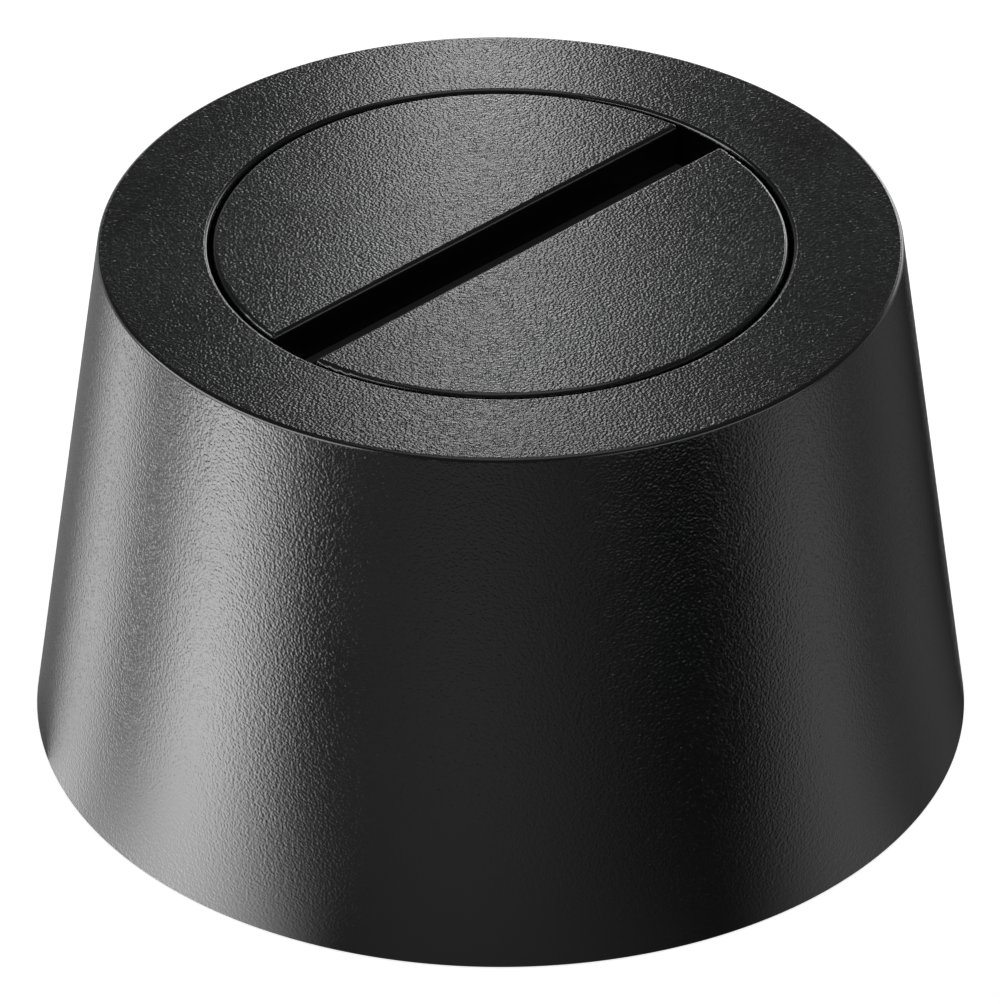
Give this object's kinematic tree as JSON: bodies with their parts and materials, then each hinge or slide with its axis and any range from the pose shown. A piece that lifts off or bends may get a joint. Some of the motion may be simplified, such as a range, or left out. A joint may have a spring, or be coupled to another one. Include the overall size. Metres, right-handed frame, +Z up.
{
  "type": "desk grommet",
  "caption": "Conical desk grommet: a tapered housing with a turning lid of half-moon caps, whose slot lets cables out over a through passage.",
  "frame": {"origin": "middle of the footprint, on the surface that it stands on", "axes": "+Z up along the axis of the cone, +X along the cable slot, +Y towards the rear cap"},
  "size_m": [0.1, 0.1, 0.0574],
  "materials": {
    "grained_black": "moulded fine orange-peel grain, satin black",
    "inner_black": "smooth moulded, matt black",
    "soft_black": "matt soft rubber, near black",
    "glide_white": "smooth turned, natural white",
    "zinc_steel": "bright zinc plated",
    "spring_steel": "dark phosphated spring steel",
    "brass": "machined brass",
    "magnet_nickel": "nickel plated"
  },
  "bodies": {
    "housing": {"housing_shell": "grained_black", "base_plate": "inner_black", "cable_sleeve": "inner_black", "foot_ring": "soft_black", "glide_ring": "glide_white", "shell_screw_1": "zinc_steel", "shell_screw_2": "zinc_steel", "shell_screw_3": "zinc_steel", "sleeve_screw_1": "zinc_steel", "sleeve_screw_2": "zinc_steel", "mounting_insert_1": "brass", "mounting_insert_2": "brass", "mounting_insert_3": "brass"},
    "turret": {"turret_ring": "inner_black", "retaining_ring": "spring_steel", "friction_ring": "soft_black", "rear_keeper_1": "zinc_steel", "rear_keeper_2": "zinc_steel", "front_keeper_1": "zinc_steel", "front_keeper_2": "zinc_steel"},
    "rear_cap": {"rear_cap": "grained_black", "rear_lip": "soft_black", "rear_magnet_1": "magnet_nickel", "rear_magnet_2": "magnet_nickel"},
    "front_cap": {"front_cap": "grained_black", "front_lip": "soft_black", "front_magnet_1": "magnet_nickel", "front_magnet_2": "magnet_nickel"}
  },
  "joints": [
    {"name": "turret_turn", "type": "hinge", "parent": "housing", "child": "turret", "pos_m": [0, 0, 0.05], "axis": [0, 0, 1], "continuous": true},
    {"name": "rear_cap_lift", "type": "slide", "parent": "turret", "child": "rear_cap", "axis": [0, 0, 1], "range_m": [0, 0.02]},
    {"name": "front_cap_lift", "type": "slide", "parent": "turret", "child": "front_cap", "axis": [0, 0, 1], "range_m": [0, 0.02]}
  ]
}
